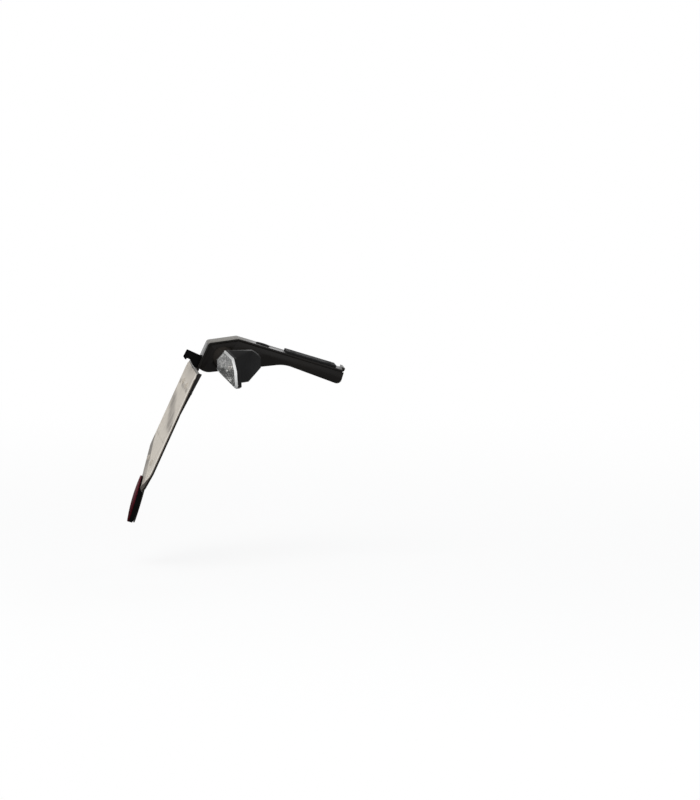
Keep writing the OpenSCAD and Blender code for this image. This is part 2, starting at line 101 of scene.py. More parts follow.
# The photo's frame in pixels, the pixels that a millimetre of the part takes in it, and where the middle of
# the part shows, with the camera's angle round the part and above it
PICTURE = (700, 800)
PX_PER_MM = 0.728
MIDDLE_AT = (235.1, 429.2)
CAMERA_AROUND = -4.0
CAMERA_UP = 6.7

# Each soft light's width in metres, its power in watts and its place
LIGHTS = {
    "key": (1.6, 26, (-1.1, -1.3, 1.7)),
    "fill": (1.4, 10, (0.5, -2.2, 0.3)),
    "back": (1.2, 12, (0.9, 1.6, 1.5)),
}


# Places of the folded parts
def move(x, y, z):
    return Matrix.Translation((x, y, z))


def turn(degrees, axis):
    return Matrix.Rotation(radians(degrees), 4, axis)


def plate_frame():
    return turn(180, "Z") @ turn(-PLATE_SLOPE, "Y")


def hanger_frame():
    deck = plate_frame() @ move(PLATE_AFT, 0, -PAD_T) @ turn(APEX_BEND, "Y")
    return deck @ move(DECK_L, 0, 0) @ turn(90 - HANGER_LEAN - DECK_SLOPE, "Y")


def holder_frame():
    return hanger_frame() @ move(0, 0, SPACER_T)


def to_crease(start, end):
    """The start of a crease on the flat plate, with Y along the crease."""
    angle = atan((PLATE_W - start) / end)
    return move(PLATE_DROP + start, -PLATE_W / 2, 0) @ Matrix.Rotation(-angle, 4, "Z")


def flap_frame():
    """What lies beyond the main crease, where the reflector is."""
    start, end, degrees = MAIN_CREASE
    crease = to_crease(start, end)
    return holder_frame() @ crease @ turn(degrees, "Y") @ crease.inverted()


def signal_frame():
    return move(LENS_X, STEM_END, 0) @ turn(90 - SIGNAL_SWEEP, "Z") @ turn(90, "X")


MIRROR_Y = Matrix.Scale(-1, 4, Vector((0, 1, 0)))


# Sizes and colours that a user would change
def length(name, words, value, low, high):
    return bpy.props.FloatProperty(name=name, description=words, default=value, min=low, max=high,
                                   subtype="DISTANCE", unit="LENGTH", precision=5)


def colour(name, words, value):
    return bpy.props.FloatVectorProperty(name=name, description=words, default=value, size=3,
                                         min=0, max=1, subtype="COLOR")


def fraction(name, words, value):
    return bpy.props.FloatProperty(name=name, description=words, default=value, min=0, max=1,
                                   subtype="FACTOR")


class TidySheetSettings(bpy.types.PropertyGroup):
    edge: length("Edge radius", "Rounding of the sheet metal's edges", 0.0005, 0.0001, 0.001)
    coat: colour("Coat", "Colour of the powder coat", (0.0050, 0.0043, 0.0038))
    coat_roughness: fraction("Coat roughness", "Roughness of the powder coat", 0.24)
    dust: fraction("Dust", "Strength of the film on the coat", 0.2)
    # Road dust and sheen: lightens what faces up, as dust and as a painted sheen
    road_dust_and_sheen: colour("Road dust", "Colour of the dust on what faces up", (0.3, 0.285, 0.26))


class TidyPlateSettings(bpy.types.PropertyGroup):
    rim_width: length("Rim width", "Width of the plate's raised rim", 0.0028, 0.001, 0.006)
    rim_height: length("Rim height", "Height of the plate's raised rim", 0.0004, 0.0002, 0.001)
    film: colour("Film", "Colour of the plate's film", (0.585, 0.528, 0.45))
    # Rim: the lighter colour of the painted highlight down the plate's right side
    rim: colour("Rim", "Colour of the plate's raised rim", (0.76, 0.71, 0.64))
    # Grime and shade: colour of the grime, of the painted shade by the creases and of the darker side edges
    grime_and_shade: colour("Grime", "Colour of the grime on the plate", (0.155, 0.13, 0.105))
    # Dark corner: the dark brown of the bent lower corner on the right
    dark_corner: colour("Mud", "Colour of the mud on the struck corner", (0.035, 0.026, 0.02))


class TidyLampSettings(bpy.types.PropertyGroup):
    plastic: colour("Plastic", "Colour of the lamp bar's moulding", (0.004, 0.004, 0.004))


class TidyReflectorSettings(bpy.types.PropertyGroup):
    red: colour("Red", "Colour of the reflector", (0.085, 0.0035, 0.01))
    # Sheen tint: the pinker red of the painted reflection towards the reflector's top
    sheen_tint: colour("Faded red", "Colour of the reflector towards its top", (0.12, 0.016, 0.024))
    crown: length("Crown", "Rise of the reflector's face from its rim", 0.0024, 0.0, 0.003)


class TidySignalSettings(bpy.types.PropertyGroup):
    plastic: colour("Housing", "Colour of the turn signal's housing", (0.008, 0.008, 0.0082))
    clear: colour("Lens", "Tint of the turn signal's lens", (0.82, 0.82, 0.81))
    haze: fraction("Haze", "Share of the lens's face that is hazed", 0.1)
    flute_pitch: length("Flute pitch", "Distance between the flutes inside the lens", 0.0028, 0.0015, 0.006)
    rubber: colour("Stem", "Colour of the rubber stem", (0.009, 0.0075, 0.0065))


class TidyStageSettings(bpy.types.PropertyGroup):
    distance: length("Camera distance", "Distance of the camera from the part", 9.0, 1.0, 12.0)
    floor: colour("Floor", "Colour of the floor", (0.9, 0.9, 0.9))


# Shader nodes and finishes
class Nodes:
    """Short ways to add and join shader nodes, on the node tree of one material or world."""

    def __init__(self, owner):
        owner.use_nodes = True
        self.tree = owner.node_tree

    def add(self, kind, **settings):
        node = self.tree.nodes.new("ShaderNode" + kind)
        for name, value in settings.items():
            setattr(node, name, value)
        return node

    def feed(self, socket, value):
        """Joins another node's output to a socket, or sets the socket to a number or a colour."""
        if isinstance(value, bpy.types.NodeSocket):
            self.tree.links.new(value, socket)
        elif isinstance(value, (int, float)):
            socket.default_value = value
        else:
            socket.default_value = (*value, 1)

    def place(self):
        return self.add("TexCoord").outputs["Object"]

    def uv(self, name):
        return self.add("UVMap", uv_map=name).outputs["UV"]

    def stretched(self, vector, scale):
        node = self.add("Mapping")
        node.inputs["Scale"].default_value = scale
        self.feed(node.inputs["Vector"], vector)
        return node.outputs["Vector"]

    def split(self, vector):
        """The outputs X, Y and Z of a vector."""
        node = self.add("SeparateXYZ")
        self.feed(node.inputs[0], vector)
        return node.outputs[:]

    def noise(self, vector, scale, detail=3.0, roughness=0.5):
        node = self.add("TexNoise")
        values = {"Scale": scale, "Detail": detail, "Roughness": roughness, "Vector": vector}
        for name, value in values.items():
            self.feed(node.inputs[name], value)
        return node.outputs["Fac"]

    def spread(self, value, low, high, to_low=0.0, to_high=1.0, smooth=True):
        """Takes what lies between low and high to what lies between to_low and to_high."""
        node = self.add("MapRange", interpolation_type="SMOOTHSTEP" if smooth else "LINEAR")
        values = {"Value": value, "From Min": low, "From Max": high, "To Min": to_low, "To Max": to_high}
        for name, number in values.items():
            self.feed(node.inputs[name], number)
        return node.outputs["Result"]

    def math(self, kind, first, *others):
        """One calculation on two values, or the same again and again along a longer list."""
        for other in others:
            node = self.add("Math", operation=kind)
            self.feed(node.inputs[0], first)
            self.feed(node.inputs[1], other)
            first = node.outputs[0]
        return first

    def times(self, *values):
        return self.math("MULTIPLY", *values)

    def plus(self, *values):
        return self.math("ADD", *values)

    def largest(self, *values):
        return self.math("MAXIMUM", *values)

    def gap(self, a, b):
        """How far two values are apart."""
        return self.math("ABSOLUTE", self.math("SUBTRACT", a, b), 0)

    def mix(self, factor, a, b):
        node = self.add("Mix", data_type="RGBA")
        factor_socket, a_socket, b_socket = node.inputs[0], node.inputs[6], node.inputs[7]
        self.feed(factor_socket, factor)
        self.feed(a_socket, a)
        self.feed(b_socket, b)
        return node.outputs[2]

    def seen(self):
        """1 for what the camera sees, straight or by way of a gloss or a lens, and 0 for light."""
        path = self.add("LightPath")
        return self.largest(*(path.outputs[f"Is {ray} Ray"] for ray in ("Camera", "Glossy", "Transmission")))

    def blend(self, share, a, b, output):
        """Mixes the shaders a and b, and gives the mixture to the output node."""
        node = self.add("MixShader")
        for socket, value in zip(node.inputs, (share, a.outputs[0], b.outputs[0])):
            self.feed(socket, value)
        self.feed(output.inputs["Surface"], node.outputs[0])


# Plain words for the shader's sockets that a finish may give at once
SOCKETS = {"metallic": "Metallic", "shine": "Specular IOR Level", "clearness": "Transmission Weight",
           "ior": "IOR", "coat_roughness": "Coat Roughness"}


class Finish(Nodes):
    """A new material, whose shader's sockets are set or joined by their names."""

    def __init__(self, base, roughness, **more):
        self.material = bpy.data.materials.new("finish")
        super().__init__(self.material)
        self.shader = self.tree.nodes["Principled BSDF"]
        self.set("Base Color", base)
        self.set("Roughness", roughness)
        for name, value in more.items():
            self.set(SOCKETS[name], value)

    def set(self, name, value):
        self.feed(self.shader.inputs[name], value)

    def bump(self, height, strength, distance):
        node = self.add("Bump")
        for name, value in {"Strength": strength, "Distance": distance, "Height": height}.items():
            self.feed(node.inputs[name], value)
        self.set("Normal", node.outputs["Normal"])


def toned(base, share):
    """A colour made darker."""
    return tuple(channel * share for channel in base)


def grained(base, roughness, grain, depth, worn=None, worn_share=0.3, shine=0.5):
    """A finish with a fine grain, depth metres deep, and a faint cloud of another colour."""
    skin = Finish(base, roughness, shine=shine)
    place = skin.place()
    clouds = skin.noise(place, 35, 4, 0.6)
    cloud_colour = worn or tuple(channel * 1.8 + 0.004 for channel in base)
    skin.set("Base Color", skin.mix(skin.spread(clouds, 0.45, 0.8, 0, worn_share), base, cloud_colour))
    skin.set("Roughness", skin.spread(clouds, 0.3, 0.75, roughness - 0.05, roughness + 0.1))
    skin.bump(skin.noise(place, grain, 2), 0.35, depth)
    return skin.material


def metal(base, roughness, grain=260, metallic=1.0):
    """A finish like bare metal, with uneven tone and gloss."""
    skin = Finish(base, roughness, metallic=metallic)
    clouds = skin.noise(skin.place(), grain, 3)
    skin.set("Base Color", skin.mix(skin.spread(clouds, 0.35, 0.7), base, toned(base, 0.72)))
    skin.set("Roughness", skin.spread(clouds, 0.3, 0.7, roughness - 0.05, roughness + 0.12))
    skin.bump(clouds, 0.15, 0.0001)
    return skin.material


def black_coat():
    """Black powder coat, with road dust and a painted sheen that lighten the rearward faces that look up."""
    sheet = bpy.context.scene.tidy_sheet
    skin = Finish(sheet.coat, sheet.coat_roughness, shine=0.07)
    place = skin.place()
    clouds = skin.noise(place, 22, 5, 0.62)
    brown = (0.026, 0.021, 0.017)
    coat = skin.mix(skin.spread(clouds, 0.42, 0.78, 0, sheet.dust), sheet.coat, brown)
    # Road dust and painted sheen: rearward faces that look up are made lighter
    up = skin.split(skin.add("NewGeometry").outputs["Normal"])[2]
    ahead = skin.split(place)[0]
    dust_starts, dust_is_full = -0.08, -0.1
    dust = skin.times(skin.spread(up, 0.3, 0.8), skin.spread(ahead, dust_is_full, dust_starts, 1, 0),
                      skin.spread(clouds, 0.3, 0.7, 0.45, 1))
    skin.set("Base Color", skin.mix(skin.times(dust, 0.75), coat, sheet.road_dust_and_sheen))
    rough = skin.spread(clouds, 0.3, 0.8, sheet.coat_roughness - 0.06, sheet.coat_roughness + 0.14)
    skin.set("Roughness", skin.plus(rough, skin.times(dust, 0.25)))
    skin.bump(skin.noise(place, 420, 3, 0.55), 0.25, 0.00012)
    return skin.material


def plate_white():
    """Worn film with painted shade by the creases and a painted highlight down the right side, in the sheet's
    own coordinates: U is down its height, V across it from the left edge.
    """
    plate = bpy.context.scene.tidy_plate
    skin = Finish(plate.film, 0.55, shine=0.25)
    sheet = skin.uv("sheet")
    down, across, _ = skin.split(sheet)
    clouds = skin.noise(sheet, 7, 5, 0.6)
    grain = skin.noise(sheet, 90, 3, 0.6)
    # How far a point lies past the main crease, as a share of the plate's height
    start, end, _ = MAIN_CREASE
    slope = (PLATE_W - start) / end
    past = skin.math("SUBTRACT", skin.plus(down, skin.times(across, -slope)), start / PLATE_W)
    grime_and_shade = plate_grime_and_shade(skin, sheet, down, across, past, clouds, grain)
    film = skin.mix(grime_and_shade, plate.film, plate.grime_and_shade)
    # Painted shade along the main crease, where the bend turns away from the light, most of it at the left
    crease_shade = skin.times(skin.spread(past, -0.1175, -0.0775), skin.spread(past, 0.0125, 0.0625, 1, 0.35),
                      skin.spread(across, 0.25, 0.6, 0.95, 0.45))
    film = skin.mix(crease_shade, film, toned(plate.grime_and_shade, 0.65))
    # A painted highlight lightens the film down the right side, and both side edges are painted darker
    near_highlight = skin.times(skin.spread(across, 0.915, 0.94), 0.8)
    film = skin.mix(near_highlight, film, plate.rim)
    edges = skin.largest(skin.spread(across, 0.9965, 0.9985), skin.spread(across, 0.0015, 0.0035, 1, 0))
    film = skin.mix(edges, film, toned(plate.grime_and_shade, 0.9))
    # Dark brown on the bent lower corner on the right, with a ragged border
    steepness = 2.41
    ragged = skin.times(skin.math("SUBTRACT", clouds, 0.5), 0.3)
    dark_corner = skin.spread(skin.plus(skin.times(down, steepness), across, ragged), 3.05, 3.12)
    skin.set("Base Color", skin.mix(dark_corner, film, plate.dark_corner))
    skin.set("Roughness", skin.spread(dark_corner, 0, 1, 0.5, 0.85))
    skin.bump(skin.plus(skin.times(grain, 0.4), dark_corner), 0.3, 0.0003)
    return skin.material


def plate_grime_and_shade(skin, sheet, down, across, past, clouds, grain):
    """How grimy and shaded the plate's film is: streak, marks, haze, specks, greyer towards the top, and
    painted shade past the main crease.
    """
    # A streak that slants over the face from the far edge to the near one
    slant, offset = 3.6, 0.92
    brushed = skin.noise(skin.stretched(sheet, (3, 14, 1)), 2.2, 5, 0.6)
    beside = skin.gap(skin.plus(across, offset), skin.times(down, slant))
    marks = skin.times(skin.spread(beside, 0.1, 0.45, 1, 0),
                       skin.spread(down, 0.2, 0.3), skin.spread(down, 0.47, 0.54, 1, 0),
                       skin.spread(brushed, 0.3, 0.65, 0.5, 1), skin.spread(clouds, 0.3, 0.6, 0.6, 1))
    # Marks across, a broad one near the top and a thin one above the crease
    patchy = skin.spread(clouds, 0.35, 0.6)
    for level, strength, half in ((0.16, 0.6, 0.03), (0.6, 0.3, 0.012)):
        line = skin.spread(skin.gap(down, level), half / 6, half, strength, 0)
        marks = skin.largest(marks, skin.times(line, patchy))
    haze = skin.times(skin.spread(clouds, 0.45, 0.75), 0.28)
    # Painted shade: the flap past the main crease is greyer, as it turns away from the light
    shade_past_crease = skin.spread(past, -0.0055, 0.0105, 0, 0.62)
    near_top = skin.spread(down, 0.02, 0.16, 0.3, 0)
    specks = skin.times(skin.spread(grain, 0.6, 0.75), 0.2)
    return skin.math("MINIMUM", skin.plus(marks, haze, shade_past_crease, near_top, specks), 0.85)


def reflector_red():
    """A clear red skin over a field of small prisms, with a painted pink reflection towards its top."""
    reflector = bpy.context.scene.tidy_reflector
    skin = Finish(reflector.red, 0.4, shine=0.0, coat_roughness=0.08)
    middle = (flap_frame() @ Vector((REFLECTOR_X, 0, LENS_Z))).z
    low, high = middle - REFLECTOR_R * 0.5, middle + REFLECTOR_R * 0.8
    upper = skin.spread(skin.split(skin.place())[2], low * MM, high * MM)
    skin.set("Coat Weight", skin.spread(upper, 0, 1, 0.02, 0.09, smooth=False))
    cells = skin.add("TexVoronoi", feature="DISTANCE_TO_EDGE", voronoi_dimensions="2D")
    for name, value in {"Scale": 18, "Randomness": 0.0, "Vector": skin.uv("flat")}.items():
        skin.feed(cells.inputs[name], value)
    prism = skin.spread(cells.outputs["Distance"], 0.02, 0.3)
    # Painted reflection: the red is darker low down and pinker towards the top
    lower_red = skin.mix(prism, toned(reflector.red, 0.35), toned(reflector.red, 0.6))
    sheen_red = skin.mix(prism, toned(reflector.red, 0.7), reflector.sheen_tint)
    skin.set("Base Color", skin.mix(upper, lower_red, sheen_red))
    skin.bump(prism, 0.6, 0.0006)
    return skin.material


def signal_bowl():
    """Bright metal with painted reflections of the dark housing in upright patches on its flutes, more of
    them lower down.
    """
    skin = Finish((0.8, 0.8, 0.8), 0.22, metallic=1.0)
    place = skin.place()
    patches = skin.noise(skin.stretched(place, (1, 1, 0.35)), 110, 3, 0.6)
    middle = (signal_frame() @ Vector((*(Vector(SIGNAL_MID) * SIGNAL_W), 0))).z
    darker_below = skin.spread(skin.split(place)[2], (middle - 14) * MM, (middle + 12) * MM, 0.1, -0.08)
    # Painted reflection: dark patches stand for the housing mirrored in the flutes
    painted_reflection = skin.spread(skin.plus(patches, darker_below), 0.5, 0.57)
    skin.set("Base Color", skin.mix(painted_reflection, (0.68, 0.68, 0.67), (0.02, 0.02, 0.019)))
    skin.bump(patches, 0.5, 0.0008)
    return skin.material


def signal_clear():
    """Clear face with a light haze and a frosted band down its edge, with a painted highlight at mid-height.
    UV "zone" holds band and height.
    """
    signal = bpy.context.scene.tidy_signal
    face_roughness, band_roughness, band_haze = 0.06, 0.3, 0.85
    skin = Finish(signal.clear, face_roughness, ior=1.45)
    in_band, height, _ = skin.split(skin.uv("zone"))
    band = skin.spread(in_band, 0.3, 0.7)
    haze = skin.spread(band, 0, 1, signal.haze, band_haze, smooth=False)
    skin.set("Transmission Weight", skin.math("SUBTRACT", 1.0, haze))
    clouds = skin.noise(skin.place(), 90, 3, 0.6)
    face = skin.mix(skin.spread(clouds, 0.35, 0.7), signal.clear, toned(signal.clear, 0.8))
    # Painted highlight: the band is palest at mid-height
    painted_highlight = skin.spread(skin.gap(height, 0.5), 0.05, 0.5, 1, 0)
    frosted = skin.mix(painted_highlight, toned(signal.clear, 0.5), signal.clear)
    skin.set("Base Color", skin.mix(band, face, frosted))
    skin.set("Roughness", skin.spread(band, 0, 1, face_roughness, band_roughness, smooth=False))
    return skin.material


def lamp_clear():
    skin = Finish((0.9, 0.93, 0.95), 0.08, clearness=1.0, ior=1.45)
    skin.bump(skin.noise(skin.place(), 500, 2), 0.15, 0.0002)
    return skin.material


def lamp_black():
    return grained(bpy.context.scene.tidy_lamp.plastic, 0.45, 900, 0.0001, shine=0.0)


def signal_black():
    return grained(bpy.context.scene.tidy_signal.plastic, 0.36, 800, 0.0001, shine=0.07)


def stem_rubber():
    return grained(bpy.context.scene.tidy_signal.rubber, 0.62, 600, 0.0003, worn=(0.03, 0.024, 0.019),
                   worn_share=0.5, shine=0.12)


def pad_rubber():
    return grained((0.009, 0.009, 0.009), 0.75, 700, 0.0003, shine=0.1)


def socket_black():
    return grained((0.02, 0.02, 0.02), 0.5, 600, 0.0002)


def board():
    return grained((0.02, 0.12, 0.05), 0.4, 500, 0.0001, worn=(0.03, 0.2, 0.08))


def led():
    return grained((0.85, 0.8, 0.55), 0.15, 400, 0.00005)


def dull_zinc():
    return grained((0.5, 0.45, 0.385), 0.6, 400, 0.0001, worn=(0.4, 0.36, 0.31), worn_share=0.5, shine=0.2)


def zinc():
    return metal((0.5, 0.5, 0.48), 0.38)


def chrome():
    return metal((0.82, 0.83, 0.84), 0.1, 120)


def amber():
    """The bulb's glass is silvered: the photo's lens shows only greys."""
    return metal((0.5, 0.45, 0.4), 0.2, 120)


def weld():
    return metal((0.05, 0.048, 0.046), 0.45, 500, metallic=0.0)


# The function that makes each finish, by the name of its material slot or, for the last three, its own
FINISHES = {make.__name__: make for make in (
    black_coat, pad_rubber, zinc, plate_white, lamp_black, lamp_clear, board, led, reflector_red,
    signal_black, stem_rubber, chrome, amber, signal_clear, socket_black,
    signal_bowl, dull_zinc, weld)}


def finish(name):
    """A finish, made the first time that it is asked for."""
    full_name = "finish_" + name
    if full_name not in bpy.data.materials:
        FINISHES[name]().name = full_name
    return bpy.data.materials[full_name]


# Meshes
SHARP_ANGLE = 32


def cut(bm, at, normal):
    """Cuts all of a bmesh along a plane."""
    bmesh.ops.bisect_plane(bm, geom=bm.verts[:] + bm.edges[:] + bm.faces[:], dist=0.0001, plane_co=at,
                           plane_no=normal)


def round_off(bm, geometry, width, segments, affect="EDGES"):
    bmesh.ops.bevel(bm, geom=geometry, offset=width, offset_type="OFFSET", segments=segments, profile=0.5,
                    affect=affect, material=-1, clamp_overlap=True)


def to_object(bm, name, place, material, slot, *replaced):
    """Makes a bmesh drawn in millimetres a piece at its place."""
    bmesh.ops.transform(bm, matrix=Matrix.Scale(MM, 4) @ place, verts=bm.verts)
    keep(bm, name, material, slot, *replaced)


def keep(bm, name, material, slot, *replaced):
    """Makes a bmesh a piece on the root body, which stands for the solids that it replaces."""
    mesh = bpy.data.meshes.new(name)
    bm.to_mesh(mesh)
    bm.free()
    mesh.shade_smooth()
    mesh.set_sharp_from_angle(angle=radians(SHARP_ANGLE))
    mesh.materials.append(material)
    piece = bpy.data.objects.new(name, mesh)
    bpy.context.scene.collection.objects.link(piece)
    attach(piece, "root")
    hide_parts(*replaced)


def slot_of(node):
    for part in frame["record"]["subparts"]:
        if part["node"] == node:
            return part["material_slot"]
    raise ValueError("no such node: " + node)


def rounded_copy(node, width, least=20, material=None, segments=2):
    """A merged copy of a solid that stands for it, its edges rounded where they turn by the least angle."""
    bm = bmesh.new()
    bm.from_mesh(frame["nodes"][node].data)
    bmesh.ops.remove_doubles(bm, verts=bm.verts, dist=0.00002)
    bmesh.ops.dissolve_degenerate(bm, dist=0.00001, edges=bm.edges)
    bmesh.ops.dissolve_limit(bm, angle_limit=radians(0.6), verts=bm.verts, edges=bm.edges)
    edges = [e for e in bm.edges if e.is_manifold and e.calc_face_angle() > radians(least)]
    round_off(bm, edges, width, segments)
    bmesh.ops.triangulate(bm, faces=[f for f in bm.faces if len(f.verts) > 4])
    slot = slot_of(node)
    keep(bm, node + "_rounded", material or finish(slot), slot, node)


def dress(*nodes):
    """Gives solids that stay as they are the finish of their slot."""
    for node in nodes:
        materials = frame["nodes"][node].data.materials
        materials.clear()
        materials.append(finish(slot_of(node)))


def spun(profile, steps=96):
    """A closed shape turned round Z. Its profile of (radius, height) points starts and ends on the axis."""
    bm = bmesh.new()
    verts = [bm.verts.new((r, 0, z)) for r, z in profile]
    edges = [bm.edges.new(pair) for pair in zip(verts, verts[1:])]
    bmesh.ops.spin(bm, geom=verts + edges, cent=(0, 0, 0), axis=(0, 0, 1), angle=2 * pi,
                   steps=steps, use_merge=True, use_duplicate=False)
    bmesh.ops.remove_doubles(bm, verts=bm.verts, dist=0.0005)
    bmesh.ops.recalc_face_normals(bm, faces=bm.faces)
    return bm


def rounded_profile(points, radius, steps=4):
    """Cuts each inner corner of a profile with a small arc."""
    out = [points[0]]
    for before, here, after in zip(points, points[1:], points[2:]):
        p, a, b = Vector(here), Vector(before), Vector(after)
        reach = min(radius, (a - p).length * 0.45, (b - p).length * 0.45)
        start = p + (a - p).normalized() * reach
        end = p + (b - p).normalized() * reach
        for i in range(steps + 1):
            t = i / steps
            q = start * (1 - t) ** 2 + p * 2 * t * (1 - t) + end * t ** 2
            out.append((q.x, q.y))
    out.append(points[-1])
    return out


class TIDY_OT_bracket(bpy.types.Operator):
    """Rounds and coats the folded bracket, its cheeks, pad and grommet"""
    bl_idname = "tidy.bracket"
    bl_label = "Bracket"

    def execute(self, context):
        edge = context.scene.tidy_sheet.edge
        rounded_copy("main_bracket", edge * 1.2, least=24)
        for node in ("cheek_left", "cheek_right", "mount_pad"):
            rounded_copy(node, edge)
        rounded_copy("wire_grommet", edge * 0.8)
        rounded_copy("weld_beads", edge * 0.8, material=finish("weld"))
        return {"FINISHED"}


class TIDY_OT_holder(bpy.types.Operator):
    """Rounds and coats the holder behind the number plate"""
    bl_idname = "tidy.holder"
    bl_label = "Plate holder"

    def execute(self, context):
        rounded_copy("plate_holder", context.scene.tidy_sheet.edge * 0.5, least=24)
        return {"FINISHED"}


# The number plate
def bend(bm, crease, mirrored=False, width=8.0):
    """Bends what lies beyond a slanting crease of the plate, over a short curve."""
    start, end, degrees = crease
    place = to_crease(start, end)
    if mirrored:
        place = MIRROR_Y @ place @ MIRROR_Y
    back = place.inverted()
    along = (place.to_3x3() @ Vector((1, 0, 0))).normalized()
    for step in (-0.5, -0.25, 0, 0.25, 0.5):
        cut(bm, place @ Vector((step * width, 0, 0)), along)
    angle = radians(degrees)
    radius = width / angle
    for vert in bm.verts:
        flat = back @ vert.co
        if flat.x <= -width / 2:
            continue
        turned = angle * (min(flat.x, width / 2) + width / 2) / width
        rest = max(0.0, flat.x - width / 2)
        # First round the curve, then straight on beyond it
        x = -width / 2 + radius * sin(turned) + rest * cos(angle)
        z = -radius * (1 - cos(turned)) - rest * sin(angle)
        outwards = Vector((sin(turned), 0, cos(turned)))
        vert.co = place @ (Vector((x, flat.y, z)) + outwards * flat.z)


class TIDY_OT_number_plate(bpy.types.Operator):
    """Makes the blank number plate with its raised rim, creases and worn film, with painted shade and
    highlight
    """
    bl_idname = "tidy.number_plate"
    bl_label = "Number plate"

    def execute(self, context):
        bm = self.face(context.scene.tidy_plate)
        self.give_coordinates(bm)
        self.close(bm)
        bend(bm, CORNER_CREASE)
        bend(bm, MAIN_CREASE)
        bend(bm, NEAR_CREASE, mirrored=True)
        to_object(bm, "number_plate_sheet", holder_frame(), finish("plate_white"), "plate_white",
                  "number_plate")
        return {"FINISHED"}

    def face(self, plate):
        """The flat front, with a raised rim and with cuts that let it bend."""
        bm = bmesh.new()
        bmesh.ops.create_grid(bm, x_segments=1, y_segments=1, size=PLATE_W / 2)
        round_off(bm, bm.verts[:], PLATE_R, 8, affect="VERTICES")
        width, height = plate.rim_width / MM, plate.rim_height / MM
        face = bm.faces[:][0]
        # How far each ring lies inside the last one, and how far it rises
        rings = ((0.3, height * 0.6), (0.6, height * 0.4), (width, 0.0), (0.8, -height), (1.2, 0.0))
        for inset, rise in rings:
            bmesh.ops.inset_region(bm, faces=[face], thickness=inset, depth=0.0, use_even_offset=True)
            bmesh.ops.translate(bm, verts=face.verts, vec=(0, 0, rise))
        fields = 16
        for along in (Vector((1, 0, 0)), Vector((0, 1, 0))):
            for i in range(1, fields):
                cut(bm, along * PLATE_W * (i / fields - 0.5), along)
        bmesh.ops.translate(bm, verts=bm.verts, vec=(PLATE_DROP + PLATE_W / 2, 0, HOLDER_T + PLATE_T))
        bmesh.ops.recalc_face_normals(bm, faces=bm.faces)
        return bm

    def give_coordinates(self, bm):
        """U runs down the plate and V across it, both from 0 to 1."""
        sheet = bm.loops.layers.uv.new("sheet")
        for face in bm.faces:
            for loop in face.loops:
                x, y, _ = loop.vert.co
                loop[sheet].uv = ((x - PLATE_DROP) / PLATE_W, 0.5 + y / PLATE_W)

    def close(self, bm):
        """The same sheet again behind the front, just clear of the holder."""
        clear = 0.02
        made = bmesh.ops.extrude_face_region(bm, geom=bm.faces[:], use_keep_orig=True)["geom"]
        behind = [v for v in made if isinstance(v, bmesh.types.BMVert)]
        bmesh.ops.translate(bm, verts=behind, vec=(0, 0, clear - PLATE_T))
        bmesh.ops.recalc_face_normals(bm, faces=bm.faces)


class TIDY_OT_lamp(bpy.types.Operator):
    """Rounds the plate lamp and gives its inner parts their finishes"""
    bl_idname = "tidy.lamp"
    bl_label = "Plate lamp"

    def execute(self, context):
        rounded_copy("lamp_housing", 0.0004, least=24)
        dress("lamp_lens", "lamp_board", "lamp_leds")
        return {"FINISHED"}


class TIDY_OT_reflector(bpy.types.Operator):
    """Makes the crowned red lens of the reflector and rounds its cup"""
    bl_idname = "tidy.reflector"
    bl_label = "Reflector"

    def execute(self, context):
        crown = context.scene.tidy_reflector.crown / MM
        r = REFLECTOR_R
        # Heights from the face that lies in the cup: its foot, its edge and the rise of the rounded edge
        foot, edge, lip = -1.0, 1.6, 0.4
        seat_r, face_r = r - 1.6, r - 1.8
        side = [(0, foot), (seat_r, foot), (seat_r, 0), (r, 0), (r, edge), (r - 1.2, edge + 0.35)]
        steps = 8
        shares = [1 - i / steps for i in range(steps + 1)]
        face = [(face_r * share, edge + lip + (crown - lip) * (1 - share ** 2)) for share in shares]
        bm = spun(rounded_profile(side, 0.5) + face)
        flat = bm.loops.layers.uv.new("flat")
        for around in bm.faces:
            for loop in around.loops:
                loop[flat].uv = loop.vert.co.xy / r
        to_object(bm, "reflector_face", flap_frame() @ move(REFLECTOR_X, 0, LENS_Z), finish("reflector_red"),
                  "reflector_red", "reflector_lens")
        rounded_copy("reflector_cup", 0.0003, least=24)
        dress("reflector_tape")
        return {"FINISHED"}


def signal_shape(shrink, z):
    """Corners of the turn signal's outline at one height, shrunk about its middle."""
    mid = Vector(SIGNAL_MID)
    return [(*((mid + (Vector(c) - mid) * (1 - shrink)) * SIGNAL_W), z) for c in SIGNAL_CORNERS]


def loft(bm, rings):
    """Joins rings of corners, one after another, with bridged faces and a cap at each end."""
    loops = []
    for ring in rings:
        verts = [bm.verts.new(p) for p in ring]
        loops.append([bm.edges.new((verts[i], verts[(i + 1) % len(verts)])) for i in range(len(verts))])
    for a, b in zip(loops, loops[1:]):
        bmesh.ops.bridge_loops(bm, edges=a + b)
    for loop in (loops[0], loops[-1]):
        bmesh.ops.contextual_create(bm, geom=loop)
    bmesh.ops.recalc_face_normals(bm, faces=bm.faces)


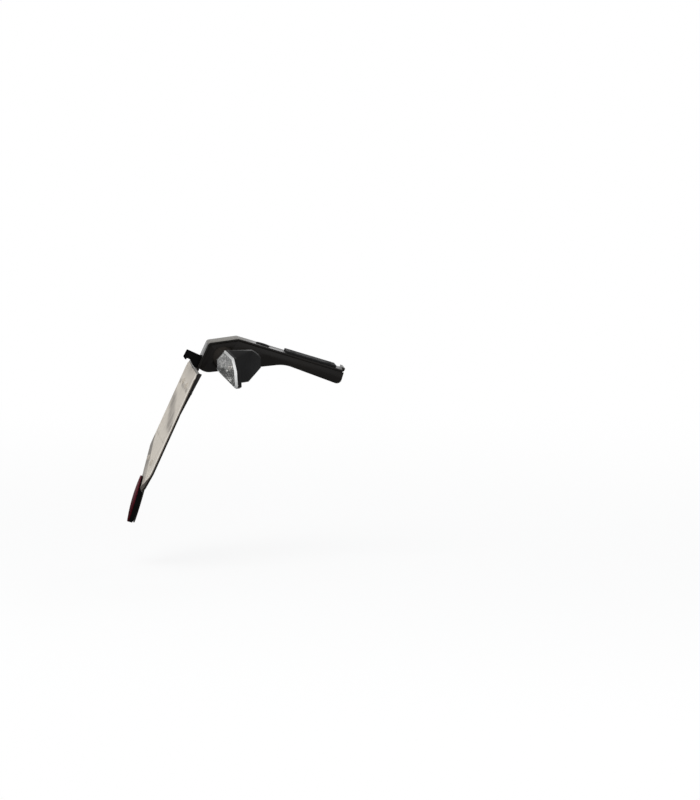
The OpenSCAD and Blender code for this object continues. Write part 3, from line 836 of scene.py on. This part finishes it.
class TIDY_OT_signals(bpy.types.Operator):
    """Makes the turn signals' lenses, optics and stems, and rounds their housings"""
    bl_idname = "tidy.signals"
    bl_label = "Turn signals"

    def execute(self, context):
        for side, flip in (("left", Matrix.Identity(4)), ("right", MIRROR_Y)):
            self.lens(side, flip)
            self.stem(side, flip)
            rounded_copy("signal_housing_" + side, 0.0006, least=14)
            rounded_copy("signal_bowl_" + side, 0.0003, least=30, material=finish("signal_bowl"))
            dress("signal_socket_" + side, "signal_bulb_" + side)
        dress("signal_nuts")
        return {"FINISHED"}

    def lens(self, side, flip):
        rim, depth, shrink, corner = 1.2, 3.5, 0.13, 0.5
        bm = bmesh.new()
        zone = bm.loops.layers.uv.new("zone")
        loft(bm, [signal_shape(0, 0), signal_shape(0, -rim), signal_shape(shrink, -depth)])
        round_off(bm, [e for e in bm.edges if e.calc_face_angle(0) > radians(15)], corner, 3)
        # The frosted band is what slants between the rim and the face, beyond the topmost corner
        lowest, highest = (end(c[1] for c in SIGNAL_CORNERS) for end in (min, max))
        for face in bm.faces:
            middle = face.calc_center_median()
            slanting = -depth + 0.2 < middle.z < -0.3 and middle.x > SIGNAL_W * 0.42
            for loop in face.loops:
                height = (loop.vert.co.y / SIGNAL_W - lowest) / (highest - lowest)
                loop[zone].uv = (1.0 if slanting else 0.0, height)
        self.hollow(bm)
        if side == "right":
            bmesh.ops.reverse_faces(bm, faces=bm.faces)
        to_object(bm, "signal_lens_shell_" + side, flip @ signal_frame(), finish("signal_clear"),
                  "signal_clear", "signal_lens_" + side)

    def hollow(self, bm):
        """Hollows the lens from behind, with upright flutes on the inside of its face."""
        wall, depth, flute_depth = 3.5, 1.9, 0.5
        pitch = bpy.context.scene.tidy_signal.flute_pitch / MM
        back = max(bm.faces, key=lambda face: face.calc_center_median().z)
        bmesh.ops.inset_region(bm, faces=[back], thickness=wall, depth=0.0, use_even_offset=True)
        bmesh.ops.translate(bm, verts=back.verts, vec=(0, 0, -depth))
        cuts = int(SIGNAL_W / pitch) * 6
        for i in range(1, cuts):
            cut(bm, (SIGNAL_W * i / cuts, 0, 0), (1, 0, 0))
        cut(bm, (0, SIGNAL_W * -0.1, 0), (0.25, 1, 0))
        for vert in bm.verts:
            if abs(vert.co.z + depth) < 0.01:
                vert.co.z -= flute_depth * sin(pi * vert.co.x / pitch) ** 2

    def stem(self, side, flip):
        """A rubber stem that tapers through ribs from its foot on the cheek to its head in the housing."""
        foot_r, waist_r, head_r, bolt_r = 14.5, 12.0, 7.0, 4.0
        bolt_end, foot_t, waist, top = -10.5, 2.5, 6, STEM_L - 5
        points = [(0, bolt_end), (bolt_r, bolt_end), (bolt_r, 0)]
        points += [(foot_r, 0), (foot_r, foot_t), (waist_r, waist)]
        # Each rib narrows to a groove
        ribs = 5
        for i in range(ribs):
            share = (i + 0.35) / ribs
            z = waist + (top - waist) * share
            r = waist_r - (waist_r - head_r) * share
            points += [(r - 0.1, z - 0.6), (r - 0.9, z), (r - 0.6, z + 0.6)]
        points += [(head_r, top), (head_r, STEM_L), (0, STEM_L)]
        bm = spun(rounded_profile(points, 0.6, 3), 64)
        if side == "right":
            bmesh.ops.reverse_faces(bm, faces=bm.faces)
        place = move(STEM_AT[0], CHEEK_OUT, STEM_AT[1]) @ turn(-90, "X")
        to_object(bm, "signal_boot_" + side, flip @ place, finish("stem_rubber"), "stem_rubber",
                  "signal_stem_" + side)


class TIDY_OT_fasteners(bpy.types.Operator):
    """Rounds the bolts, nuts and screws and gives them their zinc finish"""
    bl_idname = "tidy.fasteners"
    bl_label = "Fasteners"

    def execute(self, context):
        for node in ("holder_bolts", "holder_nuts", "plate_nuts", "lamp_screws"):
            rounded_copy(node, 0.0002, least=28, segments=1)
        rounded_copy("plate_screws", 0.0002, least=28, material=finish("dull_zinc"))
        dress("holder_spacers")
        return {"FINISHED"}


class TIDY_OT_stage(bpy.types.Operator):
    """Makes the pale floor, the white surroundings, the soft lights and the camera"""
    bl_idname = "tidy.stage"
    bl_label = "Stage"

    def execute(self, context):
        scene = context.scene
        low, high = (Vector(corner) for corner in cad_box)
        middle = (low + high) / 2
        middle.y = 0
        self.surroundings(scene)
        self.floor(scene)
        for name, (width, power, place) in LIGHTS.items():
            self.light(scene, name, width, power, Vector(place), middle)
        self.camera(scene, middle)
        scene.view_settings.view_transform = "Standard"
        return {"FINISHED"}

    def light(self, scene, name, width, power, place, target):
        data = bpy.data.lights.new(name, "AREA")
        data.shape = "DISK"
        data.size = width
        data.energy = power
        piece = bpy.data.objects.new(name, data)
        piece.location = place
        piece.rotation_euler = (target - place).to_track_quat("-Z", "Y").to_euler()
        scene.collection.objects.link(piece)

    def surroundings(self, scene):
        """White where the camera sees them, and softer as light on the part."""
        scene.world = bpy.data.worlds.new("surroundings")
        nodes = Nodes(scene.world)
        soft = nodes.tree.nodes["Background"]
        nodes.feed(soft.inputs["Color"], (0.86, 0.88, 0.9))
        nodes.feed(soft.inputs["Strength"], 0.55)
        white = nodes.add("Background")
        nodes.feed(white.inputs["Color"], (1, 1, 1))
        nodes.blend(nodes.seen(), soft, white, nodes.tree.nodes["World Output"])

    def floor(self, scene):
        radius, drop = 14, 0.06
        bm = bmesh.new()
        bmesh.ops.create_circle(bm, cap_ends=True, segments=64, radius=radius)
        bmesh.ops.translate(bm, verts=bm.verts, vec=(0, 0, cad_box[0][2] - drop))
        mesh = bpy.data.meshes.new("floor")
        bm.to_mesh(mesh)
        bm.free()
        mesh.materials.append(self.floor_finish(scene.tidy_stage.floor))
        piece = bpy.data.objects.new("floor", mesh)
        scene.collection.objects.link(piece)

    def floor_finish(self, base):
        """White where the camera sees it, with a share of plain floor near the part for its shadow."""
        skin = Finish(base, 0.9, shine=0.0)
        skin.material.name = "floor"
        away = skin.add("VectorMath", operation="LENGTH")
        skin.feed(away.inputs[0], skin.place())
        white_share = skin.spread(away.outputs["Value"], 0.4, 2.0, 0.85, 1)
        white = skin.add("Emission")
        output = skin.tree.nodes["Material Output"]
        skin.blend(skin.times(skin.seen(), white_share), skin.shader, white, output)
        return skin.material

    def camera(self, scene, middle):
        distance = scene.tidy_stage.distance
        data = bpy.data.cameras.new("camera")
        # The sensor's width is the picture's long side, which is its height
        data.lens = PX_PER_MM * distance / MM * data.sensor_width / PICTURE[1]
        data.clip_end = 60
        around, up = radians(CAMERA_AROUND), radians(CAMERA_UP)
        back = Vector((sin(around) * cos(up), -cos(around) * cos(up), sin(up)))
        right = Vector((cos(around), sin(around), 0))
        above = back.cross(right)
        # The camera looks past the part, so that the part shows where it does in the photo
        px_right, px_down = PICTURE[0] / 2 - MIDDLE_AT[0], MIDDLE_AT[1] - PICTURE[1] / 2
        aim = middle + (right * px_right + above * px_down) / PX_PER_MM * MM
        piece = bpy.data.objects.new("camera", data)
        piece.location = middle + back * distance
        piece.rotation_euler = (piece.location - aim).to_track_quat("Z", "Y").to_euler()
        scene.collection.objects.link(piece)
        scene.camera = piece


OPERATORS = (TIDY_OT_bracket, TIDY_OT_holder, TIDY_OT_number_plate, TIDY_OT_lamp, TIDY_OT_reflector,
             TIDY_OT_signals, TIDY_OT_fasteners, TIDY_OT_stage)
SETTINGS = (("tidy_sheet", TidySheetSettings), ("tidy_plate", TidyPlateSettings),
            ("tidy_lamp", TidyLampSettings), ("tidy_reflector", TidyReflectorSettings),
            ("tidy_signal", TidySignalSettings), ("tidy_stage", TidyStageSettings))


class TIDY_PT_panel(bpy.types.Panel):
    """Lists the steps that dress the tail tidy"""
    bl_idname = "TIDY_PT_panel"
    bl_label = "Tail tidy"
    bl_space_type = "VIEW_3D"
    bl_region_type = "UI"
    bl_category = "Tail tidy"

    def draw(self, context):
        for name, group in SETTINGS:
            box = self.layout.box()
            for key in group.__annotations__:
                box.prop(getattr(context.scene, name), key)
        for operator in OPERATORS:
            self.layout.operator(operator.bl_idname)


def register():
    for name, group in SETTINGS:
        bpy.utils.register_class(group)
        setattr(bpy.types.Scene, name, bpy.props.PointerProperty(type=group))
    for operator in OPERATORS:
        bpy.utils.register_class(operator)
    bpy.utils.register_class(TIDY_PT_panel)


def unregister():
    bpy.utils.unregister_class(TIDY_PT_panel)
    for operator in reversed(OPERATORS):
        bpy.utils.unregister_class(operator)
    for name, group in reversed(SETTINGS):
        delattr(bpy.types.Scene, name)
        bpy.utils.unregister_class(group)


def main():
    register()
    bpy.ops.tidy.bracket()
    bpy.ops.tidy.holder()
    bpy.ops.tidy.number_plate()
    bpy.ops.tidy.lamp()
    bpy.ops.tidy.reflector()
    bpy.ops.tidy.signals()
    bpy.ops.tidy.fasteners()
    bpy.ops.tidy.stage()


if __name__ == "__main__":
    main()
